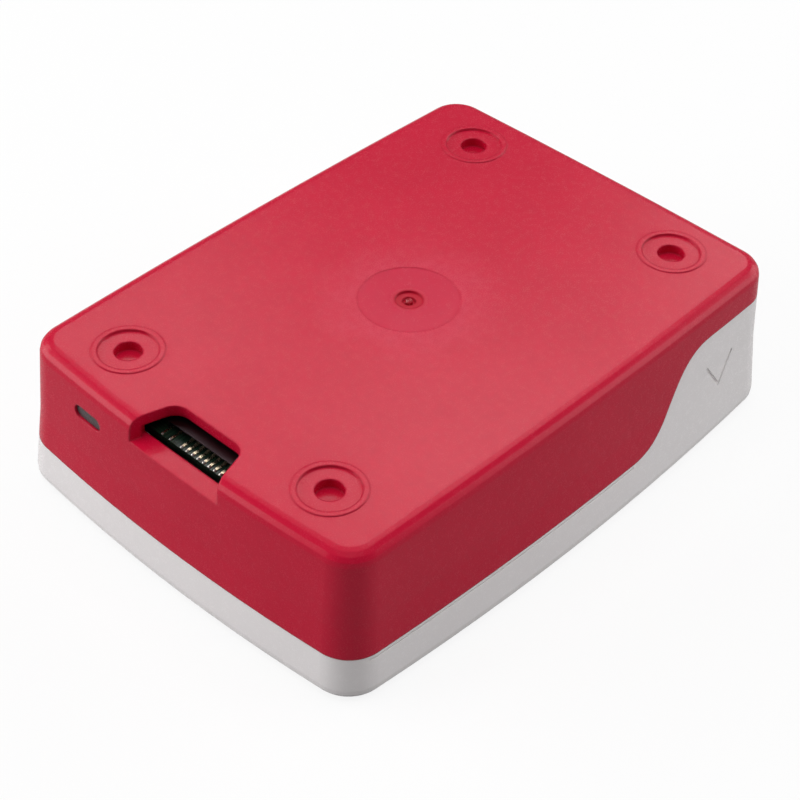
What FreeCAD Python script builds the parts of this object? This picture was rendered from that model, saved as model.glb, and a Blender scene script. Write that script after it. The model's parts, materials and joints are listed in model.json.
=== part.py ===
import FreeCAD, Part
import math
import os

# A moulded two-piece case with a credit-card-size computer board inside, lying on its lid.
# Frame in millimetres: origin at the centre of the lid's outer face, +Z up towards the base's
# underside, -X the end with the memory card slot, +X the end with the large ports,
# +Y the side with the small sockets. The board's component side faces down, towards the lid.

os.makedirs("parts", exist_ok=True)

# Case, outside
end_room = 6.1
side_room = 8.25
lean_card_end = 2.3
lean_port_end = 2.6
lean_side = 3.4
waist = 0.25
lid_bow_end = 1.9
lid_bow_side = 2.3
base_bow_card = 1.6
base_bow_port = 0.35
base_bow_side = 0.7
lid_corner = 6.2
base_corner = 5.0
lid_edge_round = 2.1
base_edge_round = 1.9
lid_round_steps = 4
base_round_steps = 4

# Case, walls and parting line
wall = 1.8
lid_floor = 2.0
base_floor = 1.8
parting_low = 7.5
parting_below_board = 0.3
parting_run = 18.5
parting_end_inset = 18.6
parting_low_handle = 0.55
parting_high_handle = 0.46
parting_gap = 0.08
rim_line_drop = 0.35
rim_line_high = 0.22
rim_line_depth = 0.2
lip_wall = 0.8
lip_height = 1.2
fit_gap = 0.1

# Case, marks on the underside
foot_inset_x = 6.0
foot_inset_y = 8.0
foot_collar_d = 10.5
foot_collar_proud = 0.12
foot_recess_d = 8.8
foot_recess_depth = 0.25
foot_hole_d = 4.15
foot_hole_depth = 1.5
foot_boss_wide = 5.5
foot_boss_floor = 0.8
gate_disc_d = 15.2
gate_disc_depth = 0.06
gate_dish_d = 4.1
gate_dish_depth = 0.4
gate_well_d = 2.0
gate_well_depth = 0.4
gate_nub_d = 0.9
gate_nub_high = 0.35

# Case, openings
card_cut_inner = 13.2
card_cut_outer = 17.6
card_cut_reach = 7.2
card_cut_corner = 2.6
card_ledge_past = 0.1
card_ledge_gap = 1.0
window_long = 5.7
window_high = 2.1
window_below_board = 0.55
window_recess = 0.35
window_shift = 0.25
pipe_flange = 1.0
pipe_flange_thick = 1.3
port_gap = 0.35
power_opening = (12.4, 6.4)
video_opening = (10.6, 6.4)
sound_opening_d = 8.6
opening_corner = 1.6
opening_past = 3.0

# Case, chevron on each long side
chevron_inset = 15.6
chevron_below = 10.3
chevron_half = 3.3
chevron_rise = 4.7
chevron_line = 0.5
chevron_depth = 0.25

# Case, hooks and clips
hook_inset = 10.5
hook_pitch = 28.0
hook_width = 6.0
hook_thick = 1.2
hook_past = 4.9
hook_barb = 0.5
catch_proud = 0.6
catch_height = 1.6
clip_side_inset = 28.5
clip_side_pitch = 36.0
clip_width = 3.2
clip_thick = 1.3
clip_bite = 0.45
clip_nose = 0.8
rib_thick = 1.2

# Board
board_thick = 1.4
board_corner = 3.0
board_hole_d = 2.7
board_hole_inset = 3.5
board_hole_pitch_x = 58.0
board_hole_pitch_y = 49.0
board_port_zone = 23.5
board_drop = 3.7
peg_gap = 0.1
peg_past = 0.8
standoff_across = 5.6
stack_room = 2.1

# Parts on the board
sheet = 0.3
card_socket_long = 14.4
card_socket_wide = 14.0
card_socket_high = 1.4
card_socket_inset = 1.7
card_contact_pitch = 1.1
card_contact_count = 8
card_contact_first_y = -5.0
card_detect_y = (5.0, 6.6)
card_detect_wide = 0.3
card_contact_tail = 1.5
card_contact_wide = 0.45
card_contact_thick = 0.15
card_contact_reach = 4.2
card_contact_rise = 0.95
card_floor_inset = 1.6
card_floor_high = 0.35
power_size = (8.94, 7.35, 3.16)
power_past = 1.2
power_tongue = (6.7, 0.7)
tongue_short = 1.0
video_size = (6.5, 7.5, 2.9)
video_past = 0.9
video_slant = 0.8
video_tongue = (3.9, 0.6)
sound_size = (7.0, 12.3, 6.0)
sound_barrel_d = 6.0
sound_barrel_long = 2.5
sound_bore_d = 3.5
stack_size = (17.5, 13.1, 16.0)
stack_past = 2.6
stack_back = 5.0
stack_divider = 1.8
stack_tongue_high = 1.9
stack_tongue_side = 0.65
stack_tongue_shift = 0.6
network_size = (21.3, 16.0, 13.5)
network_past = 2.9
network_mouth_deep = 12.5
network_mouth_side = 2.1
network_mouth_low = 2.6
network_mouth_top = 4.1
network_latch_wide = 6.0
network_latch_top = 2.1
network_contact_count = 8
network_contact_pitch = 1.02
network_contact_thick = 0.35
network_wire_inset = 3.2
network_wire_rise = 2.0
pin_pitch = 2.54
header_keep = 3.5
aux_columns = 2
pin_wide = 0.64
pin_rise = 8.5
header_high = 2.5
ribbon_size = (3.0, 22.4, 4.2)
ribbon_slot = 1.0
ribbon_inset = 2.0
latch_high = 1.3
latch_thick = 4.0

# Chips on the board, placed from its card end and socket side
processor_x = 28.75
processor_wide = 15.0
processor_high = 0.8
chip_room = 9.96
spreader_wide = 13.0
spreader_high = 1.1
chip_edge = 0.3
memory_gap = 0.5
memory_size = (11.0, 15.0, 1.0)
chip_wide = 7.0
controller_inset = 2.6
network_chip_inset = 4.2
chip_high = 0.9
shield_size = (12.0, 10.0, 1.5)
shield_inset = 6.0
shield_gap = 1.46
power_chip_from = (13.5, 17.0)
power_chip_wide = 5.0
inductor_from = ((19.5, 13.0), (19.5, 17.5), (8.0, 16.5))
inductor_size = (3.0, 3.0, 1.8)
crystal_from = ((13.5, 23.0), (17.5, 26.5))
crystal_size = (3.2, 2.5, 0.8)
light_from = ((1.1, 7.9), (1.1, 11.5))
light_size = (0.8, 1.6, 0.6)
capacitor_count = 6
capacitor_pitch = 3.0
capacitor_gap = 2.7
capacitor_size = (1.0, 0.5, 0.5)

board_length = board_hole_inset + board_hole_pitch_x + board_port_zone
board_width = board_hole_pitch_y + 2 * board_hole_inset
board_end = board_length / 2
board_side = board_width / 2
board_top = lid_floor + stack_size[2] + stack_room
board_bottom = board_top + board_thick
length = board_length + 2 * end_room
width = board_width + 2 * side_room
height = board_bottom + board_drop
inner_top = height - base_floor
parting_high = board_top - parting_below_board
parting_end = length / 2 - parting_end_inset
parting_start = parting_end - parting_run
card_ledge = board_bottom - card_ledge_past
window_z = board_top - window_below_board
window_y = board_side - (light_from[0][1] + light_from[1][1]) / 2 - window_shift
hook_x = (hook_inset - board_end, hook_inset + hook_pitch - board_end)
hook_top = parting_low + hook_past
clip_side_x = (clip_side_inset - board_end, clip_side_inset + clip_side_pitch - board_end)
reach = 2 * length


def point(x, y, z):
    return FreeCAD.Vector(x, y, z)


def block(x1, x2, y1, y2, z1, z2):
    """Box between two corners."""
    return Part.makeBox(x2 - x1, y2 - y1, z2 - z1, point(x1, y1, z1))


def rod(d, z1, z2, x, y):
    """Upright cylinder of diameter d."""
    return Part.makeCylinder(d / 2, z2 - z1, point(x, y, z1))


def post(wide, z1, z2, x, y):
    """Upright square post."""
    return block(x - wide / 2, x + wide / 2, y - wide / 2, y + wide / 2, z1, z2)


def cross_post(across, thick, z1, z2, x, y):
    """Upright post of two crossed ribs."""
    half, t = across / 2, thick / 2
    return [block(x - half, x + half, y - t, y + t, z1, z2), block(x - t, x + t, y - half, y + half, z1, z2)]


def fuse(shapes):
    first, rest = shapes[0], shapes[1:]
    return first.multiFuse(rest).removeSplitter() if rest else first


def carve(shape, tools):
    """Cut the tools away one after another."""
    for tool in tools:
        shape = shape.cut(tool)
    return shape


def on_board(from_card_end, from_socket_side):
    """Place on the board, measured from its card end and its socket side."""
    return from_card_end - board_end, board_side - from_socket_side


def bowed_radius(chord_half, bow):
    """Radius of the arc that stands bow past a chord."""
    return (chord_half ** 2 + bow ** 2) / (2 * bow)


def corner_centre(first, first_r, second, second_r, sign_x, sign_y):
    """Where two circles meet, in the quarter named by the two signs."""
    dx, dy = second[0] - first[0], second[1] - first[1]
    apart = math.hypot(dx, dy)
    along = (apart ** 2 + first_r ** 2 - second_r ** 2) / (2 * apart)
    across = math.sqrt(first_r ** 2 - along ** 2)
    found = []
    for turn in (1, -1):
        x = first[0] + (along * dx - turn * across * dy) / apart
        y = first[1] + (along * dy + turn * across * dx) / apart
        found.append((x, y))
    return max(found, key=lambda p: p[0] * sign_x + p[1] * sign_y)


def outline(z, half_card, half_port, half_side, bow_card, bow_port, bow_side, corner):
    """Closed outline at height z: four bowed sides joined by tangent corners."""
    card_chord = half_card - bow_card
    port_chord = half_port - bow_port
    side_chord = half_side - bow_side
    middle = (port_chord - card_chord) / 2
    r_side = bowed_radius((card_chord + port_chord) / 2, bow_side)
    r_card = bowed_radius(side_chord, bow_card)
    r_port = bowed_radius(side_chord, bow_port)
    ends = {-1: ((r_card - half_card, 0), r_card), 1: ((half_port - r_port, 0), r_port)}

    def touch(centre, radius, towards):
        span = math.hypot(towards[0] - centre[0], towards[1] - centre[1])
        x = centre[0] + (towards[0] - centre[0]) * radius / span
        y = centre[1] + (towards[1] - centre[1]) * radius / span
        return point(x, y, z)

    corners = {}
    for sign_x in (-1, 1):
        end_centre, end_r = ends[sign_x]
        for sign_y in (-1, 1):
            side_centre = (middle, sign_y * (half_side - r_side))
            mid = corner_centre(end_centre, end_r - corner, side_centre, r_side - corner, sign_x, sign_y)
            diagonal = corner * math.sqrt(0.5)
            bend = point(mid[0] + sign_x * diagonal, mid[1] + sign_y * diagonal, z)
            corners[sign_x, sign_y] = (touch(end_centre, end_r, mid), bend, touch(side_centre, r_side, mid))

    def arc(a, b, c):
        return Part.Arc(a, b, c).toShape()

    card_up, port_up = corners[-1, 1], corners[1, 1]
    port_down, card_down = corners[1, -1], corners[-1, -1]
    return Part.Wire([
        arc(card_up[2], point(middle, half_side, z), port_up[2]),
        arc(port_up[2], port_up[1], port_up[0]),
        arc(port_up[0], point(half_port, 0, z), port_down[0]),
        arc(port_down[0], port_down[1], port_down[2]),
        arc(port_down[2], point(middle, -half_side, z), card_down[2]),
        arc(card_down[2], card_down[1], card_down[0]),
        arc(card_down[0], point(-half_card, 0, z), card_up[0]),
        arc(card_up[0], card_up[1], card_up[2]),
    ])


def case_sizes(z, inset=0.0):
    """Half sizes, bows and corner of the case's section at height z, moved in by inset."""
    share = z / height
    pull = 4 * waist * share * (1 - share) + inset

    def between(low, high):
        return low + (high - low) * share

    return (
        length / 2 - lean_card_end * share - pull,
        length / 2 - lean_port_end * share - pull,
        width / 2 - lean_side * share - pull,
        between(lid_bow_end, base_bow_card),
        between(lid_bow_end, base_bow_port),
        between(lid_bow_side, base_bow_side),
        between(lid_corner, base_corner) - inset,
    )


def case_body(low, high, inset=0.0):
    """The case's filled form between two heights, waist included."""
    levels = (low, (low + high) / 2, high)
    return Part.makeLoft([outline(z, *case_sizes(z, inset)) for z in levels], True, True)


def case_outside():
    """The case's outer form: leaning walls that run into a round edge above and below."""
    sections = []
    for i in range(lid_round_steps):
        turn = math.pi / 2 * (1 - i / lid_round_steps)
        sections.append((lid_edge_round * (1 - math.sin(turn)), lid_edge_round * (1 - math.cos(turn))))
    first, last = lid_edge_round, height - base_edge_round
    sections += [(first, 0), ((first + last) / 2, 0), (last, 0)]
    for i in range(1, base_round_steps + 1):
        turn = math.pi / 2 * i / base_round_steps
        sections.append((last + base_edge_round * math.sin(turn), base_edge_round * (1 - math.cos(turn))))
    return Part.makeLoft([outline(z, *case_sizes(z, inset)) for z, inset in sections], True, True)


def side_y(x, z, inset=0.0):
    """Half width of the case at x and z."""
    half_card, half_port, half_side, _, _, bow_side, _ = case_sizes(z, inset)
    return half_side - bow_side * (2 * x / (half_card + half_port)) ** 2


def card_x(z, inset=0.0):
    return -case_sizes(z, inset)[0]


def port_x(z, inset=0.0):
    return case_sizes(z, inset)[1]


def parting_profile(lift):
    """Everything below the parting line, lifted by lift: low at the card end, high at the ports."""
    low, high = parting_low + lift, parting_high + lift
    swing = Part.BezierCurve()
    swing.setPoles([
        point(parting_start, 0, low),
        point(parting_start + parting_low_handle * parting_run, 0, low),
        point(parting_start + parting_high_handle * parting_run, 0, high),
        point(parting_end, 0, high),
    ])
    edges = [
        Part.makeLine(point(-reach, 0, low), point(parting_start, 0, low)),
        swing.toShape(),
        Part.makeLine(point(parting_end, 0, high), point(reach, 0, high)),
        Part.makeLine(point(reach, 0, high), point(reach, 0, -height)),
        Part.makeLine(point(reach, 0, -height), point(-reach, 0, -height)),
        Part.makeLine(point(-reach, 0, -height), point(-reach, 0, low)),
    ]
    face = Part.Face(Part.Wire(edges))
    face.translate(point(0, -reach, 0))
    return face.extrude(point(0, 2 * reach, 0))


def case_cavity():
    return case_body(lid_floor, inner_top, wall)


def edges_at(shape, z):
    return [e for e in shape.Edges if all(abs(v.Z - z) < 1e-6 for v in e.Vertexes)]


def wall_ring(outer_inset, inside):
    """Ring along the parting line, from outer_inset in the wall to the form called inside."""
    low, high = parting_low - lip_height, parting_high + 2 * lip_height
    return case_body(low, high, outer_inset).cut(inside)


def rounded_slot(along_x, along_z, corner, depth, x, y, z):
    """Rounded rectangle in the XZ plane centred on x, z, pushed along +Y from y."""
    shape = block(x - along_x / 2, x + along_x / 2, y, y + depth, z - along_z / 2, z + along_z / 2)
    uprights = [e for e in shape.Edges if abs(e.Vertexes[0].Y - e.Vertexes[1].Y) > depth / 2]
    return shape.makeFillet(corner, uprights)


def obround(across, high, depth, x, y, z):
    """Round-ended slot in the YZ plane centred on y, z, pushed along +X from x."""
    straight = (across - high) / 2
    middle = block(x, x + depth, y - straight, y + straight, z - high / 2, z + high / 2)
    ends = []
    for end in (-straight, straight):
        ends.append(Part.makeCylinder(high / 2, depth, point(x, y + end, z), point(1, 0, 0)))
    return fuse([middle] + ends)


def card_cut():
    """Tapered notch that lets fingers reach the memory card."""
    outer_x = card_x(card_ledge)
    inner_x = card_x(height) + card_cut_reach
    corners = [
        point(outer_x - card_cut_reach, -card_cut_outer / 2, card_ledge),
        point(outer_x, -card_cut_outer / 2, card_ledge),
        point(inner_x, -card_cut_inner / 2, card_ledge),
        point(inner_x, card_cut_inner / 2, card_ledge),
        point(outer_x, card_cut_outer / 2, card_ledge),
        point(outer_x - card_cut_reach, card_cut_outer / 2, card_ledge),
    ]
    notch = Part.Face(Part.makePolygon(corners + corners[:1])).extrude(point(0, 0, height))
    inner = [e for e in notch.Edges
             if abs(e.Vertexes[0].Z - e.Vertexes[-1].Z) > 1 and abs(e.Vertexes[0].X - inner_x) < 1e-6]
    return notch.makeFillet(card_cut_corner, inner)


def socket_openings():
    """Openings in the side wall for the power, video and sound sockets."""
    start = side_y(0, board_top, wall) - opening_past
    centre_z = board_top - power_size[2] / 2
    cuts = []
    for x, size in ((power_x, power_opening), (video_x[0], video_opening), (video_x[1], video_opening)):
        cuts.append(rounded_slot(size[0], size[1], opening_corner, 3 * wall + opening_past, x, start, centre_z))
    cuts.append(Part.makeCylinder(sound_opening_d / 2, 3 * wall + opening_past,
                                  point(sound_x, start, board_top - sound_size[2] / 2), point(0, 1, 0)))
    return cuts


def hook_face_y(x):
    """Outer face of a lid hook: clear of the catch that it passes."""
    return side_y(x, hook_top, wall) - catch_proud - fit_gap - hook_barb


def catch_ribs():
    """Wedge ribs inside the base that the lid's hooks snap behind."""
    ribs = []
    top = hook_top - catch_height / 2
    for x in hook_x:
        wall_y = side_y(x, top, wall)
        crest = side_y(x, hook_top, wall) - catch_proud
        section = [point(x, wall_y + wall / 2, top), point(x, crest, top),
                   point(x, wall_y + wall / 2, top - catch_height - wall / 2)]
        face = Part.Face(Part.makePolygon(section + section[:1]))
        face.translate(point(-hook_width / 2 - 0.5, 0, 0))
        rib = face.extrude(point(hook_width + 1, 0, 0))
        ribs += [rib, rib.mirror(point(0, 0, 0), point(0, 1, 0))]
    return ribs


def lid_hooks():
    """Spring tongues that stand on the lid's floor, each with a wedge barb at its tip."""
    hooks = []
    for x in hook_x:
        face_y = hook_face_y(x)
        section = [
            point(x, face_y - hook_thick, lid_floor - 0.5),
            point(x, face_y, lid_floor - 0.5),
            point(x, face_y, hook_top - 1.2),
            point(x, face_y + hook_barb, hook_top - 1.2),
            point(x, face_y + hook_barb, hook_top - 0.7),
            point(x, face_y - 0.3, hook_top),
            point(x, face_y - hook_thick, hook_top),
        ]
        face = Part.Face(Part.makePolygon(section + section[:1]))
        face.translate(point(-hook_width / 2, 0, 0))
        hook = face.extrude(point(hook_width, 0, 0))
        hooks += [hook, hook.mirror(point(0, 0, 0), point(0, 1, 0))]
    return hooks


def board_clips():
    """Posts from the base's floor that hook over the board's long edges."""
    clips = []
    places = [(x, -1) for x in clip_side_x] + [(x, 1) for x in socket_gaps()]
    for x, sign in places:
        edge = board_side + fit_gap
        section = [
            point(x, edge, inner_top + 0.5),
            point(x, edge + clip_thick, inner_top + 0.5),
            point(x, edge + clip_thick, board_top - clip_nose),
            point(x, edge, board_top - clip_nose),
            point(x, edge - clip_bite - fit_gap, board_top),
            point(x, edge, board_top),
        ]
        face = Part.Face(Part.makePolygon(section + section[:1]))
        face.translate(point(-clip_width / 2, 0, 0))
        clip = face.extrude(point(clip_width, 0, 0))
        clips.append(clip if sign > 0 else clip.mirror(point(0, 0, 0), point(0, 1, 0)))
    return clips


def socket_gaps():
    """Middle of the gap on each side of the first video socket."""
    half = video_size[0] / 2
    before = (power_x + power_size[0] / 2 + video_x[0] - half) / 2
    return before, (video_x[0] + video_x[1]) / 2


def board_hole_places():
    places = []
    for dx in (0, board_hole_pitch_x):
        for dy in (0, board_hole_pitch_y):
            places.append(on_board(board_hole_inset + dx, board_hole_inset + dy))
    return places


def foot_places():
    x, y = board_end - foot_inset_x, board_side - foot_inset_y
    return [(sx * x, sy * y) for sx in (-1, 1) for sy in (-1, 1)]


def chevrons():
    """V grooves pressed into both long sides, their tips towards the lid's outer face."""
    cuts = []
    for sign in (-1, 1):
        skin = case_body(0, height, chevron_depth)
        ribbon = []
        for arm in (-1, 1):
            lean = point(arm * chevron_half, 0, chevron_rise)
            across = point(chevron_line * chevron_rise, 0, -arm * chevron_line * chevron_half)
            across = across * (1 / (2 * math.hypot(chevron_half, chevron_rise)))
            tip = point(length / 2 - chevron_inset, sign * width / 2, parting_high - chevron_below)
            corners = [tip - across, tip + across, tip + lean + across, tip + lean - across]
            face = Part.Face(Part.makePolygon(corners + corners[:1]))
            face.translate(point(0, -width / 4, 0))
            ribbon.append(face.extrude(point(0, width / 2, 0)))
        cuts.append(fuse(ribbon).cut(skin))
    return cuts


def make_base():
    """The red base: floor with foot recesses, walls down to the parting line, pegs and clips."""
    shape = case_outside().cut(case_cavity()).cut(parting_profile(parting_gap))
    grown = [shape]
    for x, y in foot_places():
        grown.append(rod(foot_collar_d, height - base_floor / 2, height + foot_collar_proud, x, y))
        boss_low = height - foot_recess_depth - foot_hole_depth - foot_boss_floor
        grown.append(post(foot_boss_wide, boss_low, height - base_floor / 2, x, y))
    for x, y in board_hole_places():
        grown += cross_post(standoff_across, rib_thick, board_bottom, inner_top + 0.5, x, y)
        grown.append(rod(board_hole_d - 2 * peg_gap, board_top - peg_past, board_bottom + 0.5, x, y))
    grown += catch_ribs()
    grown += board_clips()
    shelf_x = card_x(card_ledge, wall) - wall / 2
    shelf_end = -board_end - card_ledge_gap
    grown.append(block(shelf_x, shelf_end, -card_cut_outer / 2 - rib_thick, card_cut_outer / 2 + rib_thick,
                       card_ledge - rib_thick, card_ledge))
    for sign in (-1, 1):
        y = sign * (card_cut_outer / 2 + rib_thick / 2)
        grown.append(block(shelf_x, shelf_end, y - rib_thick / 2, y + rib_thick / 2,
                           card_ledge - rib_thick, inner_top + 0.5))
    shape = fuse(grown)
    cuts = [card_cut()]
    for x, y in foot_places():
        recess = height - foot_recess_depth
        cuts.append(rod(foot_recess_d, recess, height + 1, x, y))
        cuts.append(rod(foot_hole_d, recess - foot_hole_depth, height, x, y))
    disc = rod(gate_disc_d, height - gate_disc_depth, height + 1, 0, 0)
    dish = rod(gate_dish_d, height - gate_dish_depth, height, 0, 0)
    well_low = height - gate_dish_depth - gate_well_depth
    well = rod(gate_well_d, well_low, height, 0, 0)
    nub = rod(gate_nub_d, well_low, well_low + gate_nub_high, 0, 0)
    cuts += [disc, dish, well.cut(nub)]
    for y, size in port_places():
        half = size[1] / 2 + port_gap
        cuts.append(block(board_end, reach, y - half, y + half, parting_high, board_top + port_gap))
    cuts.append(obround(window_long, window_high, 3 * wall, card_x(window_z) - wall, window_y, window_z))
    cuts += socket_openings()
    seat = wall_ring(wall - lip_wall - fit_gap, case_body(0, height, 1.4 * wall))
    cuts.append(seat.common(parting_profile(lip_height + fit_gap + parting_gap)))
    return carve(shape, cuts)


def port_places():
    return (stack_y[0], stack_size), (stack_y[1], stack_size), (network_y, network_size)


def port_windows():
    """Windows in the lid's end wall, open at the parting line so that the board drops in."""
    cuts = []
    for y, size in port_places():
        half = size[1] / 2 + port_gap
        low = board_top - size[2] - port_gap
        cuts.append(block(port_x(parting_high, 2.5 * wall), reach, y - half, y + half, low, parting_high + 3))
    return cuts


def rim_line():
    """Fine groove under the lid's rim, along the low part of the long side that faces the header."""
    top = parting_low - rim_line_drop
    start, end = lid_corner - length / 2, parting_start
    band = block(start, end, -width, -width / 4, top - rim_line_high, top)
    return band.cut(case_body(0, height, rim_line_depth))


def make_lid():
    """The white lid: floor, low walls that rise at the port end, lip and spring hooks."""
    walls = case_outside().common(parting_profile(0))
    lip = wall_ring(wall - lip_wall, case_body(0, lid_floor)).common(parting_profile(lip_height))
    shape = fuse([walls, lip]).cut(case_cavity())
    shape = fuse([shape] + lid_hooks())
    return carve(shape, port_windows() + chevrons() + [rim_line()])


def make_light_pipe():
    """Smoke-grey plastic that fills the window and carries light from the two status lights."""
    depth = 3 * wall
    plug = obround(window_long - 2 * fit_gap, window_high - 2 * fit_gap, depth,
                   card_x(window_z) - wall, window_y, window_z)
    back = card_x(window_z, wall) + pipe_flange_thick
    skin = case_body(0, height, window_recess)
    plug = plug.common(skin).cut(block(back, 0, 0, width, 0, height))
    along, up = window_long / 2 + pipe_flange, window_high / 2 + pipe_flange
    flange = block(back - pipe_flange_thick - wall, back, window_y - along, window_y + along,
                   window_z - up, window_z + up)
    flange = flange.common(case_body(lid_floor, inner_top, wall + fit_gap / 2))
    return fuse([plug, flange])


def make_board():
    x, y = board_end, board_side
    board = block(-x, x, -y, y, board_top, board_bottom)
    uprights = [e for e in board.Edges if abs(e.Vertexes[0].Z - e.Vertexes[-1].Z) > board_thick / 2]
    board = board.makeFillet(board_corner, uprights)
    holes = [rod(board_hole_d, board_top - 1, board_bottom + 1, hx, hy) for hx, hy in board_hole_places()]
    return carve(board, holes)


def header_pins(centre, columns):
    cx, cy = centre
    places = []
    for i in range(columns):
        for row in (-0.5, 0.5):
            places.append((cx + (i - (columns - 1) / 2) * pin_pitch, cy + row * pin_pitch))
    return places


def make_header(centre, columns):
    """Plastic strip on the board and the square pins that stand on it."""
    cx, cy = centre
    half = columns * pin_pitch / 2
    strip_face = board_top - header_high
    body = block(cx - half, cx + half, cy - pin_pitch, cy + pin_pitch, strip_face, board_top)
    w = pin_wide / 2
    pins = []
    for px, py in header_pins(centre, columns):
        pins.append(block(px - w, px + w, py - w, py + w, board_top - pin_rise, strip_face))
    return body, Part.makeCompound(pins)


def open_box(x1, x2, y1, y2, z1, z2, skin, mouth):
    """Folded sheet box with walls of skin, open on the side named by mouth."""
    grow = {"+X": (0, skin, 0, 0), "-X": (skin, 0, 0, 0), "+Y": (0, 0, 0, skin), "-Y": (0, 0, skin, 0)}
    g = grow[mouth]
    hollow = block(x1 + skin - 2 * g[0], x2 - skin + 2 * g[1], y1 + skin - 2 * g[2],
                   y2 - skin + 2 * g[3], z1 + skin, z2 - skin)
    return block(x1, x2, y1, y2, z1, z2).cut(hollow)


def make_card_socket():
    """Low card socket: plastic frame, steel cover with an open mouth, and its contacts."""
    x1 = -board_end + card_socket_inset
    x2 = x1 + card_socket_long
    half = card_socket_wide / 2
    low, high = board_bottom, board_bottom + card_socket_high
    skin = 0.2
    cover = block(x1, x2, -half, half, low, high)
    cover = cover.cut(block(x1 - 1, x2 + 1, -half + skin, half - skin, low - 1, high - skin))
    body = block(x1 + card_floor_inset, x2 - skin, -half + skin, half - skin, low, low + card_floor_high)
    back = block(x2 - card_floor_inset, x2 - skin, -half + skin, half - skin, low, high - skin)
    body = fuse([body, back])
    contacts = []
    rows = [(card_contact_first_y + i * card_contact_pitch, card_contact_wide / 2)
            for i in range(card_contact_count)]
    rows += [(y, card_detect_wide / 2) for y in card_detect_y]
    for y, w in rows:
        foot_end, tip = x1 + card_floor_inset - fit_gap, x1 + card_contact_reach
        section = [
            point(x1 - card_contact_tail, y - w, low),
            point(x1 - card_contact_tail, y - w, low + card_contact_thick),
            point(x1, y - w, low + card_contact_thick),
            point(foot_end - card_contact_thick, y - w, low + card_floor_high + card_contact_thick),
            point(tip - card_contact_thick, y - w, low + card_contact_rise),
            point(tip, y - w, low + card_contact_rise - card_contact_thick),
            point(foot_end, y - w, low + card_floor_high),
            point(foot_end, y - w, low),
        ]
        contacts.append(Part.Face(Part.makePolygon(section + section[:1])).extrude(point(0, 2 * w, 0)))
    return body, cover, Part.makeCompound(contacts)


def make_power_socket():
    """Flat socket with round ends and a thin tongue in its middle."""
    wide, deep, high = power_size
    front = board_side + power_past
    z = board_top - high / 2

    def flat_tube(w, h, y1, y2):
        middle = block(power_x - (w - h) / 2, power_x + (w - h) / 2, y1, y2, z - h / 2, z + h / 2)
        ends = []
        for end in (-1, 1):
            place = point(power_x + end * (w - h) / 2, y1, z)
            ends.append(Part.makeCylinder(h / 2, y2 - y1, place, point(0, 1, 0)))
        return fuse([middle] + ends)

    shell = flat_tube(wide, high, front - deep, front)
    shell = shell.cut(flat_tube(wide - 2 * sheet, high - 2 * sheet, front - deep + sheet, front + 1))
    tongue_wide, tongue_high = power_tongue
    tongue = block(power_x - tongue_wide / 2, power_x + tongue_wide / 2, front - deep + sheet,
                   front - tongue_short, z - tongue_high / 2, z + tongue_high / 2)
    return shell, tongue


def make_video_socket(x):
    """Small socket whose lower corners are cut at a slant."""
    wide, deep, high = video_size
    front = board_side + video_past

    def form(w, h, cut, y1, y2, z):
        outline_points = [
            point(x - w / 2, y1, z), point(x + w / 2, y1, z),
            point(x + w / 2, y1, z - h + cut), point(x + w / 2 - cut, y1, z - h),
            point(x - w / 2 + cut, y1, z - h), point(x - w / 2, y1, z - h + cut),
        ]
        face = Part.Face(Part.makePolygon(outline_points + outline_points[:1]))
        return face.extrude(point(0, y2 - y1, 0))

    shell = form(wide, high, video_slant, front - deep, front, board_top)
    shell = shell.cut(form(wide - 2 * sheet, high - 2 * sheet, video_slant, front - deep + sheet, front + 1,
                           board_top - sheet))
    tongue_wide, tongue_high = video_tongue
    z = board_top - high / 2
    tongue = block(x - tongue_wide / 2, x + tongue_wide / 2, front - deep + sheet, front - tongue_short,
                   z - tongue_high / 2, z + tongue_high / 2)
    return shell, tongue


def make_sound_jack():
    wide, deep, high = sound_size
    front = board_side
    z = board_top - high / 2
    body = block(sound_x - wide / 2, sound_x + wide / 2, front - deep, front, board_top - high, board_top)
    barrel = Part.makeCylinder(sound_barrel_d / 2, sound_barrel_long + 1,
                               point(sound_x, front - 1, z), point(0, 1, 0))
    bore = Part.makeCylinder(sound_bore_d / 2, reach, point(sound_x, front - deep + 1, z), point(0, 1, 0))
    return fuse([body, barrel]).cut(bore)


def make_port_stack(y):
    """Steel box with two mouths one above the other, and the plastic core with its two tongues."""
    deep, wide, high = stack_size
    x2 = board_end + stack_past
    x1 = x2 - deep
    low = board_top - high
    shell = open_box(x1, x2, y - wide / 2, y + wide / 2, low, board_top, sheet, "+X")
    in_half = wide / 2 - sheet
    in_low, in_high = low + sheet, board_top - sheet
    middle = (in_low + in_high) / 2
    back = block(x1 + sheet, x1 + sheet + stack_back, y - in_half, y + in_half, in_low, in_high)
    divider = block(x1 + sheet, x2 - tongue_short / 2, y - in_half, y + in_half,
                    middle - stack_divider / 2, middle + stack_divider / 2)
    tongue_half = in_half - stack_tongue_side
    tongues = []
    for sign in (-1, 1):
        z = middle + sign * (in_high - in_low) / 4 + stack_tongue_shift
        tongues.append(block(x1 + sheet, x2 - tongue_short, y - tongue_half, y + tongue_half,
                             z - stack_tongue_high / 2, z + stack_tongue_high / 2))
    return shell, fuse([back, divider] + tongues)


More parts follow.
